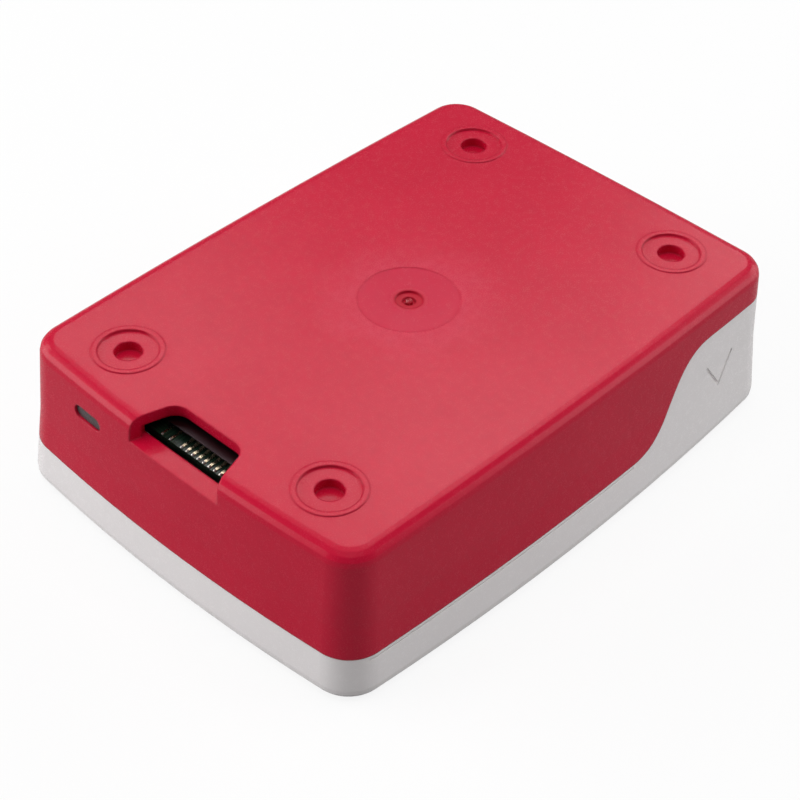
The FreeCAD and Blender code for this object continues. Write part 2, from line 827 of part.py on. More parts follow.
def make_network_jack():
    """Steel box with a stepped mouth, a plastic insert that lines it, and eight spring contacts."""
    deep, wide, high = network_size
    y = network_y
    x2 = board_end + network_past
    x1 = x2 - deep
    low = board_top - high
    shell = open_box(x1, x2, y - wide / 2, y + wide / 2, low, board_top, sheet, "+X")
    insert = block(x1 + sheet, x2 - sheet, y - wide / 2 + sheet, y + wide / 2 - sheet,
                   low + sheet, board_top - sheet)
    mouth_half = wide / 2 - network_mouth_side
    mouth_x = x2 - network_mouth_deep
    floor_z = low + network_mouth_low
    mouth = block(mouth_x, x2 + 1, y - mouth_half, y + mouth_half, floor_z, board_top - network_mouth_top)
    latch_slot = block(mouth_x, x2 + 1, y - network_latch_wide / 2, y + network_latch_wide / 2,
                       floor_z, board_top - network_latch_top)
    insert = carve(insert, [mouth, latch_slot])
    contacts = []
    thick = network_contact_thick
    wire_x = (x2 - network_wire_inset, mouth_x + network_wire_inset)
    for i in range(network_contact_count):
        cy = y + (i - (network_contact_count - 1) / 2) * network_contact_pitch
        section = [
            point(wire_x[0], cy - thick / 2, floor_z),
            point(wire_x[0], cy - thick / 2, floor_z + thick),
            point(wire_x[1], cy - thick / 2, floor_z + network_wire_rise + thick),
            point(wire_x[1], cy - thick / 2, floor_z + network_wire_rise),
            point(wire_x[0] - 2 * thick, cy - thick / 2, floor_z),
        ]
        contacts.append(Part.Face(Part.makePolygon(section + section[:1])).extrude(point(0, thick, 0)))
    return shell, insert, Part.makeCompound(contacts)


def make_ribbon_connector(centre):
    """Upright ribbon connector and the latch that slides off the board to release the ribbon."""
    cx, cy = centre
    thick, wide, high = ribbon_size
    body = block(cx - thick / 2, cx + thick / 2, cy - wide / 2, cy + wide / 2, board_top - high, board_top)
    slot_half = wide / 2 - 2.0
    body = body.cut(block(cx - ribbon_slot / 2, cx + ribbon_slot / 2, cy - slot_half, cy + slot_half,
                          board_top - high - 1, board_top - 1.0))
    low = board_top - high - latch_high - 0.05
    latch = block(cx - latch_thick / 2, cx + latch_thick / 2, cy - wide / 2, cy + wide / 2,
                  low, low + latch_high)
    latch = latch.cut(block(cx - 0.1, cx + ribbon_slot / 2, cy - slot_half, cy + slot_half, low - 1, board_top))
    blade = block(cx - ribbon_slot / 2 + 0.1, cx - 0.1, cy - slot_half + 0.3, cy + slot_half - 0.3,
                  low + latch_high / 2, low + latch_high + 1.6)
    return body, fuse([latch, blade])


def chip_row_of(places_from_edges, size_x, size_y, high, chamfer=0.0):
    """Alike chips at places measured from the board's card end and socket side."""
    return Part.makeCompound([chip(on_board(*p), size_x, size_y, high, chamfer) for p in places_from_edges])


def chip(centre, size_x, size_y, high, chamfer=0.0):
    """Flat chip on the board's component side."""
    cx, cy = centre
    shape = block(cx - size_x / 2, cx + size_x / 2, cy - size_y / 2, cy + size_y / 2,
                  board_top - high, board_top)
    if chamfer:
        shape = shape.makeChamfer(chamfer, edges_at(shape, board_top - high))
    return shape


# Places on the board: sockets spread along the edge that the large ports leave free
free_edge = board_length + stack_past - stack_size[0]
power_x = on_board(0.16 * free_edge, 0)[0]
video_x = (on_board(0.371 * free_edge, 0)[0], on_board(0.563 * free_edge, 0)[0])
camera_x = on_board(0.665 * free_edge, 0)[0]
sound_x = on_board(0.77 * free_edge, 0)[0]
port_free = board_width - 2 * stack_size[1] - network_size[1]
stack_in = port_free / 6 + stack_size[1] / 2
stack_step = stack_size[1] + port_free / 3
stack_y = (board_side - stack_in, board_side - stack_in - stack_step)
network_y = stack_y[1] - stack_size[1] / 2 - port_free / 3 - network_size[1] / 2
header_columns = int((board_hole_pitch_x - 2 * header_keep) / pin_pitch)
header_y = board_width - board_hole_inset
far_hole = board_hole_inset + board_hole_pitch_x
header_place = on_board((board_hole_inset + far_hole) / 2, header_y)
aux_place = on_board(far_hole, header_y - 2.5 * pin_pitch)
display_place = on_board(ribbon_size[0] / 2 + ribbon_inset, board_side)
camera_place = camera_x, board_side - ribbon_size[1] / 2 - ribbon_inset / 2
jack_in = board_length + network_past - network_size[0]
chip_row = header_y - pin_pitch

nodes = {}
nodes["lid"] = make_lid()
nodes["base"] = make_base()
nodes["light_pipe"] = make_light_pipe()
nodes["circuit_board"] = make_board()
card_body, card_cover, card_contacts = make_card_socket()
nodes["card_socket_body"] = card_body
nodes["card_socket_cover"] = card_cover
nodes["card_socket_contacts"] = card_contacts
nodes["power_socket_shell"], nodes["power_socket_tongue"] = make_power_socket()
for number, x in enumerate(video_x, 1):
    shell_part, tongue_part = make_video_socket(x)
    nodes[f"video_socket_shell_{number}"] = shell_part
    nodes[f"video_socket_tongue_{number}"] = tongue_part
nodes["sound_jack"] = make_sound_jack()
for number, y in enumerate(stack_y, 1):
    shell_part, core_part = make_port_stack(y)
    nodes[f"port_stack_shell_{number}"] = shell_part
    nodes[f"port_stack_core_{number}"] = core_part
network_parts = make_network_jack()
nodes["network_jack_shell"], nodes["network_jack_insert"], nodes["network_jack_contacts"] = network_parts
nodes["pin_header_strip"], nodes["pin_header_pins"] = make_header(header_place, header_columns)
nodes["aux_header_strip"], nodes["aux_header_pins"] = make_header(aux_place, aux_columns)
nodes["display_connector"], nodes["display_latch"] = make_ribbon_connector(display_place)
nodes["camera_connector"], nodes["camera_latch"] = make_ribbon_connector(camera_place)

processor_place = on_board(processor_x, chip_row - processor_wide / 2 - chip_room)
nodes["processor"] = chip(processor_place, processor_wide, processor_wide, processor_high)
spreader = chip(processor_place, spreader_wide, spreader_wide, spreader_high, chip_edge)
spreader.translate(point(0, 0, -processor_high))
nodes["heat_spreader"] = spreader
memory_x = processor_x + processor_wide / 2 + memory_gap + memory_size[0] / 2
memory_y = (ribbon_inset / 2 + ribbon_size[1] + chip_row) / 2
nodes["memory_chip"] = chip(on_board(memory_x, memory_y), *memory_size)
nodes["port_controller"] = chip(on_board(jack_in - controller_inset, board_side), chip_wide, chip_wide, chip_high)
network_chip_y = header_y - 3.5 * pin_pitch - chip_wide / 2 - fit_gap
nodes["network_chip"] = chip(on_board(jack_in - network_chip_inset, network_chip_y), chip_wide, chip_wide, chip_high)
shield_place = on_board(shield_size[0] / 2 + shield_inset, chip_row - shield_size[1] / 2 - shield_gap)
nodes["wireless_shield"] = chip(shield_place, *shield_size, chip_edge)
nodes["power_chip"] = chip(on_board(*power_chip_from), power_chip_wide, power_chip_wide, chip_high)
nodes["inductors"] = chip_row_of(inductor_from, *inductor_size, chip_edge)
nodes["crystals"] = chip_row_of(crystal_from, *crystal_size)
nodes["status_lights"] = chip_row_of(light_from, *light_size)
capacitor_from = []
for side_y_offset in (-1, 1):
    for i in range(capacitor_count):
        along = (i - (capacitor_count - 1) / 2) * capacitor_pitch
        cy = board_side - processor_place[1] + side_y_offset * (processor_wide / 2 + capacitor_gap)
        capacitor_from.append((processor_x + along, cy))
nodes["capacitors"] = chip_row_of(capacitor_from, *capacitor_size)

for name, shape in nodes.items():
    solids = shape.Solids
    state = "good" if shape.isValid() and solids else "BAD"
    print(f"{name:24s} {state} solids {len(solids)} volume {shape.Volume:9.1f} mm3")
    shape.exportStep(f"parts/{name}.step")
print("nodes", len(nodes))
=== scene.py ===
# %% [markdown]
# # A small computer's case, lying on its lid
#
# The object is a moulded case in two pieces. A red base and a white lid close around a computer board
# the size of a bank card. It lies upside down, so the base's underside with its four foot recesses
# looks up at the camera. The construction model is loaded first as a fixed frame, in metres, and every
# finish and every small piece below is put onto it.

# %% Load the frame
import json
import math
import random
import bmesh
import bpy
from mathutils import Matrix, Vector


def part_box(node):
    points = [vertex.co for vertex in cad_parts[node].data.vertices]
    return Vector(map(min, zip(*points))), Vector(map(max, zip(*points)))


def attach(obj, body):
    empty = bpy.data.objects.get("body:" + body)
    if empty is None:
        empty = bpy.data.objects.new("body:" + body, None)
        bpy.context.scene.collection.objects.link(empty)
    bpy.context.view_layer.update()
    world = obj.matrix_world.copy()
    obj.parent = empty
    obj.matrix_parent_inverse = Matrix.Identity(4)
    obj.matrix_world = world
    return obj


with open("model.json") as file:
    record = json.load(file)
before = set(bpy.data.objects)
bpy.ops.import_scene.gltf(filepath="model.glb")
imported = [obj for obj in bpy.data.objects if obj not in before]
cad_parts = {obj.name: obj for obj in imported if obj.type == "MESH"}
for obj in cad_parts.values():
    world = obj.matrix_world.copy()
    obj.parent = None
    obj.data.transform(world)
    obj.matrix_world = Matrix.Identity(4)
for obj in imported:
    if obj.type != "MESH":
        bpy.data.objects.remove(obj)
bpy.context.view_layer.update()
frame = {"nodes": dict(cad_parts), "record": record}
parts = frame["nodes"]
MM = 0.001
print("pieces in the frame:", len(parts))

# %% [markdown]
# ## Camera
#
# The camera stands where the photographer's stood. Its place was found by laying the outline, the foot
# recesses and the parting line of the model over the photograph until they met. It looks down at about
# 41 degrees on the corner between the card end and a long side, through a long lens that hardly
# converges, so the turn is built from three angles and the focal length is given.

# %% Camera at the photograph's viewpoint
TURN, TILT, ROLL = math.radians(-48.0), math.radians(41.24), math.radians(2.07)


def photo_camera(place, lens):
    """Camera that looks along the photograph's line of sight."""
    back = Vector((math.sin(TURN) * math.cos(TILT), -math.cos(TURN) * math.cos(TILT), math.sin(TILT)))
    level_right = (-back).cross(Vector((0, 0, 1))).normalized()
    level_up = level_right.cross(-back)
    right = math.cos(ROLL) * level_right + math.sin(ROLL) * level_up
    up = math.cos(ROLL) * level_up - math.sin(ROLL) * level_right
    data = bpy.data.cameras.new("photo_camera")
    data.lens, data.sensor_width = lens, 36.0
    data.clip_start, data.clip_end = 0.01, 20.0
    camera = bpy.data.objects.new("photo_camera", data)
    camera.matrix_world = Matrix.Translation(place) @ Matrix((right, up, back)).transposed().to_4x4()
    bpy.context.scene.collection.objects.link(camera)
    return camera


camera = photo_camera(Vector((-0.17566, -0.15710, 0.21217)), 92.73)
bpy.context.scene.camera = camera
print("camera stands", round(camera.location.length, 3), "m from the lid's centre")

# %% [markdown]
# ## Floor, backdrop and lamps
#
# Product photographs of this kind are taken on a white table between large soft boxes. Satin plastic
# shows a pink veil wherever it mirrors a light, and deep pure red where it mirrors the dark gap between
# two, as along the round edge. One lamp for everything can't give both that veil and even soft light
# down in the foot holes, so the two jobs are parted. Two boxes and a sheet overhead light the case, and
# four panels behind it are seen only as reflections. The room's walls are white low down and fade from
# about 20 to 44 degrees up, and satin plastic mirrors them and the table only faintly.

# %% Room and floor
scene = bpy.context.scene
scene.view_settings.view_transform = "Standard"
MIRRORED_SHARE = 0.12
# Sines of the heights between which the white walls fade.
WALL_TOP, CEILING_FROM = 0.35, 0.70
TABLE_DROP = 0.00005
LIT_PAPER, SEEN_PAPER = (0.44, 0.44, 0.44, 1), (0.95, 0.95, 0.95, 1)
COLOUR_A, COLOUR_B, COLOUR_OUT = 6, 7, 2


def math_node(nodes, links, operation, first, second):
    """Reckons with two values, each a number or another node's output."""
    node = nodes.new("ShaderNodeMath")
    node.operation = operation
    for value, socket in ((first, node.inputs[0]), (second, node.inputs[1])):
        if isinstance(value, (int, float)):
            socket.default_value = value
        else:
            links.new(value, socket)
    return node.outputs[0]


def seen_directly(nodes, links):
    """How far a ray shows the white background: 1 to the camera or through glass, less when mirrored."""
    path = nodes.new("ShaderNodeLightPath").outputs
    mirrored = math_node(nodes, links, "MULTIPLY", path["Is Glossy Ray"], MIRRORED_SHARE)
    seen = math_node(nodes, links, "MAXIMUM", path["Is Camera Ray"], mirrored)
    return math_node(nodes, links, "MAXIMUM", seen, path["Is Transmission Ray"])


def studio_room(diffuse_level, ceiling_level):
    """White walls that fade to ceiling_level overhead and light the case by diffuse_level only."""
    world = bpy.data.worlds.new("studio_room")
    scene.world = world
    world.use_nodes = True
    nodes, links = world.node_tree.nodes, world.node_tree.links
    background = nodes["Background"]
    background.inputs["Color"].default_value = (1, 1, 1, 1)
    place = nodes.new("ShaderNodeTexCoord")
    split = nodes.new("ShaderNodeSeparateXYZ")
    links.new(place.outputs["Generated"], split.inputs[0])
    height = nodes.new("ShaderNodeMapRange")
    height.interpolation_type = "SMOOTHSTEP"
    height.inputs["From Min"].default_value = WALL_TOP
    height.inputs["From Max"].default_value = CEILING_FROM
    height.inputs["To Min"].default_value = 1.0
    height.inputs["To Max"].default_value = ceiling_level
    links.new(split.outputs["Z"], height.inputs["Value"])
    level = nodes.new("ShaderNodeMix")
    level.inputs["A"].default_value = diffuse_level
    links.new(seen_directly(nodes, links), level.inputs["Factor"])
    links.new(height.outputs["Result"], level.inputs["B"])
    links.new(level.outputs["Result"], background.inputs["Strength"])


def white_table(size, kept_shadow):
    """Paper that glows white to the eye but keeps a share of the case's shadow."""
    bpy.ops.mesh.primitive_plane_add(size=size, location=(0, 0, -TABLE_DROP))
    table = bpy.context.object
    table.name = "white_table"
    paper = bpy.data.materials.new("white_paper")
    paper.use_nodes = True
    nodes, links = paper.node_tree.nodes, paper.node_tree.links
    nodes.remove(nodes["Principled BSDF"])
    seen = seen_directly(nodes, links)
    tone = nodes.new("ShaderNodeMix")
    tone.data_type = "RGBA"
    tone.inputs[COLOUR_A].default_value = LIT_PAPER
    tone.inputs[COLOUR_B].default_value = SEEN_PAPER
    links.new(seen, tone.inputs["Factor"])
    matt = nodes.new("ShaderNodeBsdfDiffuse")
    links.new(tone.outputs[COLOUR_OUT], matt.inputs["Color"])
    glow = nodes.new("ShaderNodeEmission")
    glow.inputs["Strength"].default_value = 1.0
    share = math_node(nodes, links, "MULTIPLY", seen, 1 - kept_shadow)
    mix = nodes.new("ShaderNodeMixShader")
    links.new(share, mix.inputs["Fac"])
    links.new(matt.outputs[0], mix.inputs[1])
    links.new(glow.outputs[0], mix.inputs[2])
    links.new(mix.outputs[0], nodes["Material Output"].inputs["Surface"])
    table.data.materials.append(paper)


studio_room(diffuse_level=0.16, ceiling_level=0.06)
white_table(size=6.0, kept_shadow=0.14)
print("room and table set")

# %% Soft boxes, ceiling sheet and sheen panels


def soft_box(name, turn, tilt, away, wide, high, radiance, mirrored=True, lights=True):
    """Area lamp that looks at the case; turn is from +X in degrees, radiance is what a mirror shows."""
    data = bpy.data.lights.new(name, "AREA")
    data.shape = "RECTANGLE"
    data.size, data.size_y = wide, high
    data.energy = radiance * math.pi * wide * high
    lamp = bpy.data.objects.new(name, data)
    turn, tilt = math.radians(turn), math.radians(tilt)
    towards = Vector((math.cos(turn) * math.cos(tilt), math.sin(turn) * math.cos(tilt), math.sin(tilt)))
    lamp.location = towards * away
    lamp.rotation_euler = towards.to_track_quat("Z", "Y").to_euler()
    lamp.visible_camera = False
    lamp.visible_glossy = mirrored
    lamp.visible_diffuse = lights
    scene.collection.objects.link(lamp)
    return lamp


# In each row: turn, tilt, distance, width and height in metres, radiance.
lamps = [
    soft_box("left_box", 128, 16, 0.80, 0.80, 0.60, 3.75),
    soft_box("right_box", -30, 16, 0.80, 0.80, 0.60, 2.45),
    soft_box("ceiling_sheet", 0, 90, 1.00, 1.00, 1.00, 2.05, mirrored=False),
    soft_box("back_sheen", 33, 46, 0.85, 0.28, 0.09, 7.6, lights=False),
    soft_box("upper_sheen", 38, 57, 0.85, 0.80, 0.14, 4.2, lights=False),
    soft_box("right_sheen", 24, 34, 0.85, 0.14, 0.12, 6.2, lights=False),
    soft_box("left_sheen", 58, 42, 0.85, 0.21, 0.10, 6.0, lights=False),
]
print("lamps:", [(lamp.name, round(lamp.data.energy, 2)) for lamp in lamps])

# %% [markdown]
# ## Finishes
#
# Every finish starts from one Principled shader. Two things are added to it: noise that is measured in
# millimetres on the object, so that grain has its real size, and a bump or roughness that follows that
# noise. `Maker` keeps those few steps in one place so that each finish below reads as a recipe.

# %% A small kit for finishes


class Maker:
    """Builds one finish, node by node, in object coordinates."""

    def __init__(self, name, colour, roughness=0.5, metallic=0.0):
        self.material = bpy.data.materials.new(name)
        self.material.use_nodes = True
        self.nodes = self.material.node_tree.nodes
        self.links = self.material.node_tree.links
        self.shader = self.nodes["Principled BSDF"]
        self.shader.inputs["Base Color"].default_value = (*colour, 1)
        self.shader.inputs["Roughness"].default_value = roughness
        self.shader.inputs["Metallic"].default_value = metallic
        self.place = self.nodes.new("ShaderNodeTexCoord").outputs["Object"]

    def noise(self, feature_mm, detail=2.0, stretch=(1, 1, 1)):
        """Noise from 0 to 1 whose features are about feature_mm across."""
        place = self.place
        if stretch != (1, 1, 1):
            scale = self.nodes.new("ShaderNodeMapping")
            scale.inputs["Scale"].default_value = stretch
            self.links.new(place, scale.inputs["Vector"])
            place = scale.outputs["Vector"]
        node = self.nodes.new("ShaderNodeTexNoise")
        node.inputs["Scale"].default_value = 1 / (feature_mm * MM)
        node.inputs["Detail"].default_value = detail
        self.links.new(place, node.inputs["Vector"])
        return node.outputs["Fac"]

    def ramp(self, value, low, high, out_low=0.0, out_high=1.0):
        """Carries the span from low to high over to the span from out_low to out_high."""
        node = self.nodes.new("ShaderNodeMapRange")
        node.inputs["From Min"].default_value = low
        node.inputs["From Max"].default_value = high
        node.inputs["To Min"].default_value = out_low
        node.inputs["To Max"].default_value = out_high
        self.links.new(value, node.inputs["Value"])
        return node.outputs["Result"]

    def calc(self, operation, first, second):
        return math_node(self.nodes, self.links, operation, first, second)

    def blend(self, share, first, second):
        """Colour between two colours, each a triple or another blend's output."""
        node = self.nodes.new("ShaderNodeMix")
        node.data_type = "RGBA"
        self.links.new(share, node.inputs["Factor"])
        for value, socket in ((first, node.inputs[COLOUR_A]), (second, node.inputs[COLOUR_B])):
            if isinstance(value, tuple):
                socket.default_value = (*value, 1)
            else:
                self.links.new(value, socket)
        return node.outputs[COLOUR_OUT]

    def bump(self, value, height_mm, strength, under=None):
        """Normal of a relief that is height_mm deep, laid over another normal if one is given."""
        node = self.nodes.new("ShaderNodeBump")
        node.inputs["Strength"].default_value = strength
        node.inputs["Distance"].default_value = height_mm * MM
        self.links.new(value, node.inputs["Height"])
        if under is not None:
            self.links.new(under, node.inputs["Normal"])
        return node.outputs["Normal"]

    def soft_edges(self, radius_mm):
        """Normal that rounds sharp edges over radius_mm."""
        node = self.nodes.new("ShaderNodeBevel")
        node.samples = 6
        node.inputs["Radius"].default_value = radius_mm * MM
        return node.outputs["Normal"]

    def edge_share(self, rounded, low=0.02, high=0.25):
        """About 1 on edges and 0 on flats, from how far the rounded normal turns away."""
        true = self.nodes.new("ShaderNodeNewGeometry").outputs["Normal"]
        node = self.nodes.new("ShaderNodeVectorMath")
        node.operation = "DOT_PRODUCT"
        self.links.new(rounded, node.inputs[0])
        self.links.new(true, node.inputs[1])
        return self.ramp(node.outputs["Value"], 1 - low, 1 - high)

    def put(self, socket, value):
        self.links.new(value, self.shader.inputs[socket])

    def dress(self, *names):
        """Puts the finish on pieces of the construction model."""
        for name in names:
            for slot in parts[name].material_slots:
                slot.material = self.material


print("kit ready")

# %% [markdown]
# ## Case plastic
#
# Both halves are moulded in a tool whose walls were etched with a fine spark texture, so the surface is
# satin with a grain of about a fifth of a millimetre. Where single grains glint, pale specks are painted
# in as painted glints. Slow, wide changes of tone come from how the melt flowed, and a few long faint
# scuffs from use. Edges that hands and tables touch are smoother, and they are made paler than the flats
# partly for wear and partly as a painted highlight where the edges catch the light.

# %% Recipe for the case plastic


def case_plastic(name, colour, deep, pale, ease_mm, grain_mm=0.2, roughness=(0.2, 0.3), veil=0.2):
    """Gives the finish, its tone before any local mark, and its roughness."""
    finish = Maker(name, colour)
    flow = finish.noise(14.0, 3.0)
    mottle = finish.noise(1.1, 3.0)
    grain = finish.noise(grain_mm, 2.0)
    tone = finish.blend(finish.ramp(flow, 0.3, 0.7), deep, colour)
    # Painted glints: pale specks where single grains would catch the light.
    painted_glints = finish.ramp(finish.calc("MULTIPLY", mottle, grain), 0.33, 0.45, 0.0, 0.3)
    tone = finish.blend(painted_glints, tone, pale)
    scuff = finish.ramp(finish.noise(2.4, 2.0, (0.12, 1.0, 1.0)), 0.64, 0.76, 0.0, 0.15)
    tone = finish.blend(scuff, tone, pale)
    rounded = finish.soft_edges(ease_mm)
    # Pale edges: partly wear, partly a painted highlight where the edges catch the light.
    worn_and_lit_edges = finish.calc("MULTIPLY", finish.edge_share(rounded), finish.ramp(mottle, 0.38, 0.62, 0.25, 0.9))
    tone = finish.blend(finish.calc("MULTIPLY", worn_and_lit_edges, 0.7), tone, pale)
    rough = finish.calc("ADD", finish.ramp(grain, 0.3, 0.7, *roughness),
                        finish.ramp(mottle, 0.3, 0.7, -0.02, 0.025))
    rough = finish.calc("SUBTRACT", rough, finish.calc("MULTIPLY", worn_and_lit_edges, 0.1))
    wave = finish.bump(flow, 0.05, 0.35, rounded)
    finish.put("Normal", finish.bump(grain, 0.014, 0.7, finish.bump(mottle, 0.02, 0.15, wave)))
    finish.put("Base Color", tone)
    finish.put("Roughness", rough)
    finish.shader.inputs["Specular IOR Level"].default_value = veil
    return finish, tone, rough


white_lid = case_plastic(
    "white_lid_plastic", (0.905, 0.87, 0.872), (0.885, 0.85, 0.852), (0.935, 0.91, 0.91), ease_mm=0.14)[0]
white_lid.dress("lid")
print("lid dressed")

# %% [markdown]
# The red half was filled through a point in the middle of its outer face. Melt that is pressed in fast
# there leaves a mark that moulders call gate blush: inside the turned ring the skin is a little deeper
# and smoother, and around it lies a faint pale halo. Down in the dish the colour is painted deeper and
# purer, as painted shade where the hollow mirrors none of the light. The distance from the gate gives
# each of the three, as a ramp, and noise keeps the halo from being a perfect circle.

# %% Red base with its gate blush
red_base, red_tone, red_rough = case_plastic(
    "red_base_plastic", (0.585, 0.005, 0.037), (0.55, 0.004, 0.033), (0.62, 0.02, 0.058), ease_mm=0.45)
HALO_RED, SKIN_RED, DISH_SHADE_RED = (0.63, 0.03, 0.075), (0.575, 0.004, 0.055), (0.5, 0.001, 0.02)


def from_gate(finish):
    """Distance from the gate's axis, in millimetres."""
    flat = finish.nodes.new("ShaderNodeVectorMath")
    flat.operation = "MULTIPLY"
    flat.inputs[1].default_value = (1 / MM, 1 / MM, 0)
    finish.links.new(finish.place, flat.inputs[0])
    reach = finish.nodes.new("ShaderNodeVectorMath")
    reach.operation = "LENGTH"
    finish.links.new(flat.outputs[0], reach.inputs[0])
    return reach.outputs["Value"]


reach = from_gate(red_base)
ragged = red_base.calc("ADD", reach, red_base.ramp(red_base.noise(4.0, 3.0), 0.3, 0.7, -2.0, 2.0))
outside = red_base.ramp(reach, 7.4, 7.9)
halo = red_base.calc("MULTIPLY", outside, red_base.ramp(ragged, 15.0, 8.5, 0.0, 0.45))
skin = red_base.ramp(reach, 7.7, 7.3, 0.0, 0.35)
# Painted shade: the dish is made deeper and purer red, as the hollow mirrors none of the light.
dish = red_base.ramp(reach, 2.9, 1.9, 0.0, 0.9)
tone = red_base.blend(halo, red_tone, HALO_RED)
tone = red_base.blend(skin, tone, SKIN_RED)
red_base.put("Base Color", red_base.blend(dish, tone, DISH_SHADE_RED))
hazier = red_base.calc("MULTIPLY", red_base.calc("SUBTRACT", halo, skin), 0.05)
duller = red_base.calc("MULTIPLY", dish, 0.3)
red_base.put("Roughness", red_base.calc("ADD", red_rough, red_base.calc("ADD", hazier, duller)))
red_base.dress("base")
print("base dressed")

# %% [markdown]
# ## Smoke-grey light window
#
# A small bar of tinted clear plastic fills the slot beside the card cut and leads out the glow of two
# status lights. It is dark because the case behind it is dark, so it lets only a part of the light
# through and has a smoky tint and a satin face.

# %% Light window
smoke = Maker("smoke_window_plastic", (0.16, 0.14, 0.135), 0.22)
smoke.shader.inputs["Transmission Weight"].default_value = 0.35
smoke.shader.inputs["IOR"].default_value = 1.49
smoke.put("Roughness", smoke.ramp(smoke.noise(0.9, 2.0), 0.3, 0.7, 0.22, 0.34))
smoke.put("Base Color", smoke.blend(smoke.noise(2.5), (0.08, 0.06, 0.064), (0.11, 0.085, 0.09)))
smoke.put("Normal", smoke.bump(smoke.noise(0.9), 0.01, 0.2, smoke.soft_edges(0.2)))
smoke.dress("light_pipe")
print("window dressed")

# %% [markdown]
# ## Board and chips
#
# The board is glass fibre under dark green lacquer, whose green is painted darker still as painted shade
# for the inside of the case. Copper tracks beneath the lacquer show as slightly paler lines, so two wave
# patterns, broken up by noise, lighten and raise the lacquer. Chips are matt moulded epoxy with a fine
# sandy grain.

# %% Board lacquer and chips
lacquer = Maker("board_lacquer_painted_shade", (0.012, 0.05, 0.022), 0.32)
WAVE_LENGTH = 0.31


def tracks(finish, pitch_mm, turn):
    """Fine parallel lines, bent by noise, as copper tracks lie under lacquer."""
    scale = finish.nodes.new("ShaderNodeMapping")
    scale.inputs["Rotation"].default_value = (0, 0, turn)
    finish.links.new(finish.place, scale.inputs["Vector"])
    wave = finish.nodes.new("ShaderNodeTexWave")
    wave.inputs["Scale"].default_value = WAVE_LENGTH / (pitch_mm * MM)
    wave.inputs["Distortion"].default_value = 0.6
    wave.inputs["Detail"].default_value = 1.0
    finish.links.new(scale.outputs["Vector"], wave.inputs["Vector"])
    return finish.ramp(wave.outputs["Fac"], 0.55, 0.7)


patches = lacquer.ramp(lacquer.noise(7.0, 1.0), 0.46, 0.5)
copper = lacquer.calc("MULTIPLY", tracks(lacquer, 0.5, 0.0), patches)
elsewhere = lacquer.calc("SUBTRACT", 1.0, patches)
across = lacquer.calc("MULTIPLY", tracks(lacquer, 0.6, math.pi / 2), elsewhere)
copper = lacquer.calc("MAXIMUM", copper, across)
# Painted shade: both lacquer tones are darkened below the lacquer's own green for the shade inside the
# case.
lacquer.put("Base Color", lacquer.blend(copper, (0.004, 0.011, 0.007), (0.009, 0.026, 0.014)))
lacquer.put("Roughness", lacquer.ramp(lacquer.noise(0.5, 2.0), 0.3, 0.7, 0.26, 0.42))
lacquer.put("Normal", lacquer.bump(copper, 0.035, 0.5))
lacquer.dress("circuit_board")

epoxy = Maker("chip_epoxy", (0.018, 0.018, 0.02), 0.6)
sand = epoxy.noise(0.3, 3.0)
epoxy.put("Base Color", epoxy.blend(sand, (0.012, 0.012, 0.014), (0.032, 0.032, 0.034)))
epoxy.put("Roughness", epoxy.ramp(epoxy.noise(0.15), 0.3, 0.7, 0.5, 0.7))
epoxy.put("Normal", epoxy.bump(epoxy.noise(0.12), 0.012, 0.5, epoxy.soft_edges(0.08)))
epoxy.dress("memory_chip", "port_controller", "network_chip", "power_chip")

carrier = Maker("processor_carrier", (0.02, 0.06, 0.03), 0.45)
glass_weave = carrier.noise(0.6, 2.0)
carrier.put("Base Color", carrier.blend(glass_weave, (0.014, 0.045, 0.022), (0.03, 0.085, 0.042)))
carrier.put("Normal", carrier.bump(carrier.noise(0.3), 0.01, 0.4, carrier.soft_edges(0.06)))
carrier.dress("processor")
print("board dressed")

# %% [markdown]
# ## Metals
#
# Socket shells are stamped from tinned steel: bright, slightly cloudy, with fine rolling lines along one
# direction. The card socket's cover is steel painted nearly black, as painted shade for the dark inside
# of the case. The processor's lid is nickel with a softer satin, crystals sit in tin cans, and contacts
# are gold over nickel.

# %% Shells, spreader and contacts


def rolled_metal(name, colour, roughness, line_mm, stretch):
    """Slightly cloudy metal; stretch draws its fine lines out along one axis."""
    finish = Maker(name, colour, roughness, 1.0)
    lines = finish.noise(line_mm, 2.0, stretch)
    cloud = finish.noise(2.5, 2.0)
    darker = tuple(c * 0.9 for c in colour)
    finish.put("Base Color", finish.blend(finish.ramp(cloud, 0.3, 0.7), darker, colour))
    finish.put("Roughness", finish.calc("ADD", finish.ramp(lines, 0.3, 0.7, -0.06, 0.08),
                                        finish.ramp(cloud, 0.3, 0.7, roughness, roughness + 0.05)))
    finish.put("Normal", finish.bump(lines, 0.004, 0.5, finish.soft_edges(0.06)))
    return finish


tinned_steel = rolled_metal("tinned_steel", (0.62, 0.61, 0.59), 0.26, 0.25, (0.08, 1, 1))
tinned_steel.dress("power_socket_shell", "video_socket_shell_1", "video_socket_shell_2",
                   "port_stack_shell_1", "port_stack_shell_2", "network_jack_shell", "wireless_shield")
# Painted shade: the cover is steel whose colour is darkened nearly to black for the shade inside the
# case.
shaded_steel = rolled_metal("steel_painted_shade", (0.045, 0.034, 0.039), 0.4, 0.2, (1, 0.1, 1))
shaded_steel.dress("card_socket_cover")
nickel = rolled_metal("nickel_spreader", (0.66, 0.65, 0.62), 0.34, 0.2, (1, 0.1, 1))
nickel.dress("heat_spreader")
gold = rolled_metal("gold_contact", (0.72, 0.6, 0.42), 0.24, 0.15, (1, 1, 0.3))
gold.dress("card_socket_contacts", "network_jack_contacts", "pin_header_pins", "aux_header_pins")
tin = rolled_metal("tin_can", (0.7, 0.7, 0.7), 0.3, 0.2, (1, 1, 1))
tin.dress("crystals")
print("metals dressed")

